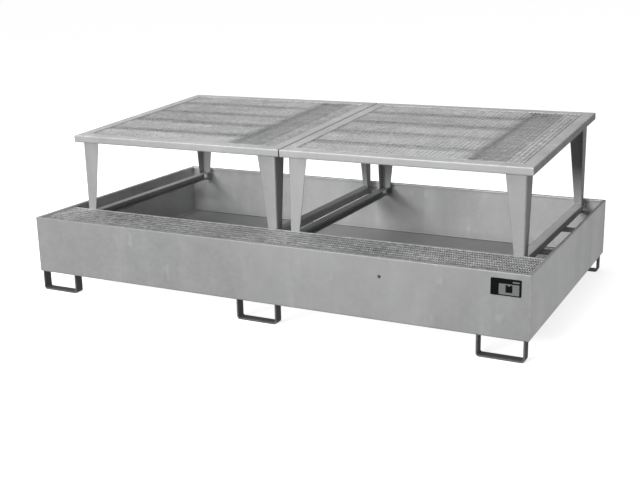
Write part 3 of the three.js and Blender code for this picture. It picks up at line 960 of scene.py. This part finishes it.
def build_rail(side, which):
    """Base rail: a channel with its open side towards the middle of the stand."""
    node = f"stand_{side}_rail_{which}"
    low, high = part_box(node)
    fold, tip = (low.x, high.x) if which == "left" else (high.x, low.x)
    corners = [(tip, low.z), (fold, low.z), (fold, high.z), (tip, high.z)]
    section = sheet_section(corners[::-1] if which == "left" else corners, RAIL_SHEET, FOLD_RADIUS)
    bm = new_bmesh()
    add_run(bm, section, lambda u, v, s: Vector((u, s, v)), low.y, high.y)
    rail = new_object(f"{node}_fold", bm, RAIL, f"stand_{side}", [node])
    # Upward faces take painted light.
    outermost = (side, which) == ("left", "left")
    paint_light_and_shade_by_facing(rail, OUTER_RAIL_TOP_LIT if outermost else RAIL_TOP_LIT, UP)


def box_on_platform(node, matrix):
    """A CAD node's box along the platform's own axes."""
    inverse = matrix.inverted()
    points = [inverse @ v.co for v in nodes[node].data.vertices]
    low = Vector(min(p[k] for p in points) for k in range(3))
    return low, Vector(max(p[k] for p in points) for k in range(3))


def channel_corners(near, far, web, edge):
    """A channel from near to far, with its web at one height and its flanges' edges at another."""
    return [(far, edge), (far, web), (near, web), (near, edge)]


def build_slats(prefix, matrix):
    """Slats across the platform, open side down."""
    place = lambda u, v, s: matrix @ Vector((s, u, v))
    for number in SLAT_NUMBERS:
        node = f"{prefix}_slat_{number}"
        low, high = box_on_platform(node, matrix)
        corners = channel_corners(low.y, high.y, high.z, low.z)
        section = sheet_section(corners, SLAT_SHEET, FOLD_RADIUS, margin=SLAT_SHADE_EDGE)
        bm = new_bmesh()
        add_run(bm, section, place, low.x, high.x, margin=SLAT_SHADE_EDGE)
        slat = new_object(f"{node}_fold", bm, SHADED, prefix, [node])
        # The slat is the shaded zinc, painted shade. Its upward faces take painted light, with painted
        # shade along their edges.
        paint_light_and_shade_by_facing(slat, FRONT_SLAT_TOP_LIGHT_AND_SHADE if number == 1 else SLAT_TOP_LIGHT_AND_SHADE, UP)


def build_plank(prefix, matrix):
    """Plank from front to back, open side down."""
    node = f"{prefix}_plank"
    low, high = box_on_platform(node, matrix)
    corners = channel_corners(low.x, high.x, high.z, low.z)
    section = sheet_section(corners, SLAT_SHEET, FOLD_RADIUS, margin=PLANK_SHADE_EDGE)
    bm = new_bmesh()
    add_run(bm, section, lambda u, v, s: matrix @ Vector((u, s, v)), low.y, high.y)
    plank = new_object(f"{node}_fold", bm, SHADED, prefix, [node])
    # The plank is the shaded zinc, painted shade. Its upward faces take painted light, with painted shade
    # along their edges.
    paint_light_and_shade_by_facing(plank, PLANK_TOP_LIGHT_AND_SHADE, UP)


def build_bearer(prefix, matrix):
    """Trough that carries the slats' ends, with a weld at each slat."""
    node = f"{prefix}_bearer"
    low, high = box_on_platform(node, matrix)
    corners = channel_corners(high.x, low.x, low.z, high.z)
    bm = new_bmesh()
    section = sheet_section(corners, SLAT_SHEET, FOLD_RADIUS)
    add_run(bm, section, lambda u, v, s: matrix @ Vector((u, s, v)), low.y, high.y)
    weld_end = 0.010  # from a slat's edge
    weld_z = high.z - 0.001
    for number in SLAT_NUMBERS:
        slat_low, slat_high = box_on_platform(f"{prefix}_slat_{number}", matrix)
        start = matrix @ Vector((low.x, slat_low.y + weld_end, weld_z))
        end = matrix @ Vector((low.x, slat_high.y - weld_end, weld_z))
        add_bead(bm, start, end, 0.0022, BEARER_SEED + number)
    # The trough takes painted shade.
    new_object(f"{node}_fold", bm, TROUGH_SHADE, prefix, [node])


def build_deck_grating(side, matrix):
    """The fine grating that lies on the slats and lifts out."""
    node = f"stand_{side}_deck_grating"
    low, high = box_on_platform(node, matrix)
    depth = high.z - low.z
    bearing, cross = [(DECK_BAR_WIDTH, depth * share) for share in DECK_BAR_DEPTHS]
    seed = DECK_GRATING_SEED + len(side)
    bm = new_bmesh()
    add_mesh_of_bars(bm, low, high, DECK_PITCH, bearing, cross, DECK_LUMP, seed, matrix)
    new_object(f"{node}_mesh", bm, DECK, f"deck_grating_{side}", [node])


def build_stands():
    """Both stands: tilted frame, legs, base rails and deck."""
    for side in SIDES:
        matrix = platform_matrix(side)
        width, depth = platform_size(side)
        build_frame(side, matrix, width, depth)
        for row in ROWS:
            for which in SIDES:
                build_leg(side, f"{row}_{which}", matrix)
        for which in SIDES:
            build_rail(side, which)
        build_slats(f"stand_{side}", matrix)
        build_plank(f"stand_{side}", matrix)
        build_bearer(f"stand_{side}", matrix)
        build_deck_grating(side, matrix)


# ---- Label plate and earthing bolt ---------------------------------------------------------------


def add_plate(bm, x0, x1, z0, z1, y_back, y_front, corner, index):
    """Flat plate with rounded corners facing -Y, in the material slot of that index."""
    steps = 4
    loop = []
    for cx, cz, start in (
        (x1 - corner, z0 + corner, -90),
        (x1 - corner, z1 - corner, 0),
        (x0 + corner, z1 - corner, 90),
        (x0 + corner, z0 + corner, 180),
    ):
        for k in range(steps + 1):
            angle = math.radians(start + 90 * k / steps)
            loop.append((cx + corner * math.cos(angle), cz + corner * math.sin(angle)))
    rings = [[bm.verts.new((x, y, z)) for x, z in loop] for y in (y_back, y_front)]
    faces = [bm.faces.new(rings[0]), bm.faces.new(rings[1][::-1])]
    for i in range(len(loop)):
        j = (i + 1) % len(loop)
        faces.append(bm.faces.new((rings[0][i], rings[0][j], rings[1][j], rings[1][i])))
    for face in faces:
        face.material_index = index


def build_label():
    """Generic plate: dark ground, pale field with a dark block, and blank pale strips. No lettering."""
    low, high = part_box("label_plate")
    bm = new_bmesh()
    width, height = high.x - low.x, high.z - low.z
    plate_corner = 0.004
    add_plate(bm, low.x, high.x, low.z, high.z, high.y, low.y, plate_corner, 0)
    ink = 0.0002  # thickness of a printed layer
    patches = (  # left, right, bottom and top as shares of the plate, layer, corner radius
        (0.27, 0.93, 0.07, 0.70, 1, 0.002),
        (0.72, 0.94, 0.79, 0.87, 1, 0.001),
        (0.49, 0.71, 0.20, 0.58, 2, 0.0008),
        (0.49, 0.56, 0.56, 0.65, 2, 0.0008),
        (0.64, 0.71, 0.56, 0.65, 2, 0.0008),
    )
    for left, right, bottom, top, layer, corner in patches:
        add_plate(
            bm,
            low.x + left * width,
            low.x + right * width,
            low.z + bottom * height,
            low.z + top * height,
            low.y - (layer - 1) * ink,
            low.y - layer * ink,
            corner,
            layer % 2,  # the first layer is pale, the second dark like the plate
        )
    plate = new_object("label_plate_print", bm, INK, "tray", ["label_plate"])
    plate.data.materials.append(PALE)


def build_bolt():
    """Hexagon head with a chamfered face and a washer, and the shank through the wall."""
    low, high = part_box("earthing_bolt")
    centre = Vector(((low.x + high.x) / 2, 0, (low.z + high.z) / 2))
    radius = (high.x - low.x) / 2
    face = -TRAY_HALF_DEPTH
    bm = new_bmesh()

    def ring(sides, r, y):
        made = []
        for k in range(sides):
            angle = math.tau * k / sides
            x, z = centre.x + r * math.cos(angle), centre.z + r * math.sin(angle)
            made.append(bm.verts.new((x, y, z)))
        return made

    def shell(rings):
        for near, far in zip(rings, rings[1:]):
            for i in range(len(near)):
                j = (i + 1) % len(near)
                bm.faces.new((near[i], near[j], far[j], far[i]))
        bm.faces.new(rings[0])
        bm.faces.new(rings[-1][::-1])

    ease = 0.0009
    washer, washer_top = radius * 1.25, radius * 1.1
    seat = face - 0.0013  # the washer's outer face
    shell([ring(24, washer, face), ring(24, washer, face - ease), ring(24, washer_top, seat)])
    hexagon = radius * 0.96
    shell([ring(6, hexagon, seat), ring(6, hexagon, low.y + ease), ring(6, hexagon * 0.82, low.y)])
    shank, shank_tip = 0.004, 0.0033
    shank_rings = (shank, face + 0.0005), (shank, high.y - 0.001), (shank_tip, high.y)
    shell([ring(20, r, y) for r, y in shank_rings])
    new_object("earthing_bolt_hex", bm, BOLT, "tray", ["earthing_bolt"])


build_tray()
build_feet()
build_supports()
build_front_gratings()
build_stands()
build_label()
build_bolt()

# ---- Floor, light and camera ---------------------------------------------------------------------

FLOOR_REACH = 90.0
FLOOR_GLOW = 0.7
WORLD_STRENGTH = 0.36
LIGHTS = {  # place, aim, size and power in watts
    "overhead": ((-1.2, -1.8, 5.5), (0, 0, 0.6), (4.0, 3.0), 135),
    "left": ((-8.0, -0.6, 3.1), (0, 0, 0.3), (3.5, 1.4), 330),
    "front": ((-1.4, -8.5, 2.6), (0, 0.5, 0.3), (4.5, 1.2), 560),
    "right_fill": ((6.0, -1.0, 1.6), (1.3, 0, 0.3), (3.0, 1.5), 225),
    "back_fill": ((-2.5, 8.0, 2.4), (0, 0.75, 0.4), (4.5, 1.4), 330),
}
CAMERA_PLACE = (2.3975, -4.7606, 1.6765)
CAMERA_YAW = math.radians(26.997)  # to the left of +Y
CAMERA_PITCH = math.radians(15.254)  # downwards
CAMERA_ROLL = math.radians(-1.199)
CAMERA_LENS = 57.25  # mm, on a sensor 36 mm wide


def build_stage():
    """Plain white floor that glows a little, so that it stays even all round."""
    signs = ((-1, -1), (1, -1), (1, 1), (-1, 1))
    corners = [(sx * FLOOR_REACH, sy * FLOOR_REACH, 0) for sx, sy in signs]
    mesh = bpy.data.meshes.new("studio_floor")
    mesh.from_pydata(corners, [], [(0, 1, 2, 3)])
    floor = bpy.data.objects.new("studio_floor", mesh)
    bpy.context.scene.collection.objects.link(floor)
    g = Graph("studio_white")
    g.link(g.tinted(g.total(0.8, g.centred(g.noise(2.0), 0.01)), 0.0), g.shader.inputs["Base Color"])
    g.shader.inputs["Roughness"].default_value = 0.9
    g.shader.inputs["Specular IOR Level"].default_value = 0.1
    g.shader.inputs["Emission Color"].default_value = (1, 1, 1, 1)
    g.shader.inputs["Emission Strength"].default_value = FLOOR_GLOW
    mesh.materials.append(g.material)
    floor.visible_diffuse = False
    floor.visible_glossy = False


def build_world():
    """Even, soft studio surroundings."""
    world = bpy.data.worlds.new("studio")
    bpy.context.scene.world = world
    world.use_nodes = True
    background = world.node_tree.nodes["Background"]
    background.inputs["Color"].default_value = (1, 1, 1, 1)
    background.inputs["Strength"].default_value = WORLD_STRENGTH


def area_light(name, location, target, size, power):
    """Soft light that the camera doesn't see."""
    light = bpy.data.lights.new(name, "AREA")
    light.shape = "RECTANGLE"
    light.size, light.size_y = size
    light.energy = power
    obj = bpy.data.objects.new(name, light)
    bpy.context.scene.collection.objects.link(obj)
    obj.location = location
    obj.rotation_euler = (Vector(target) - Vector(location)).to_track_quat("-Z", "Y").to_euler()
    obj.visible_camera = False
    return obj


def light_only(light, names):
    """The light reaches only the named pieces."""
    lit = bpy.data.collections.new(f"{light.name}_receivers")
    for name in names:
        lit.objects.link(bpy.data.objects[name])
    light.light_linking.receiver_collection = lit


def build_lights():
    """Studio lights, and two that fill in single pieces which face away from them."""
    lights = {name: area_light(name, *settings) for name, settings in LIGHTS.items()}
    light_only(lights["right_fill"], ["tray_right_wall_sheet", "tray_corner_welds"])
    back_legs = [f"stand_{side}_leg_back_{end}_fold" for side in SIDES for end in SIDES]
    back_pieces = ["tray_back_wall_sheet", "tray_left_wall_sheet"] + back_legs
    light_only(lights["back_fill"], back_pieces)


def build_camera():
    """Camera at the photograph's viewing angle."""
    ahead = math.cos(CAMERA_PITCH)
    forward = Vector((-math.sin(CAMERA_YAW) * ahead, math.cos(CAMERA_YAW) * ahead, -math.sin(CAMERA_PITCH)))
    level = forward.cross(UP).normalized()
    upright = level.cross(forward)
    right = level * math.cos(CAMERA_ROLL) + upright * math.sin(CAMERA_ROLL)
    up = upright * math.cos(CAMERA_ROLL) - level * math.sin(CAMERA_ROLL)
    camera = bpy.data.cameras.new("camera")
    camera.lens = CAMERA_LENS
    camera.sensor_width = 36.0
    camera.clip_end = 400.0
    obj = bpy.data.objects.new("camera", camera)
    bpy.context.scene.collection.objects.link(obj)
    turn = Matrix((right, up, -forward)).transposed().to_4x4()
    obj.matrix_world = Matrix.Translation(CAMERA_PLACE) @ turn
    bpy.context.scene.camera = obj


build_stage()
build_world()
build_lights()
build_camera()
bpy.context.scene.view_settings.view_transform = "Standard"
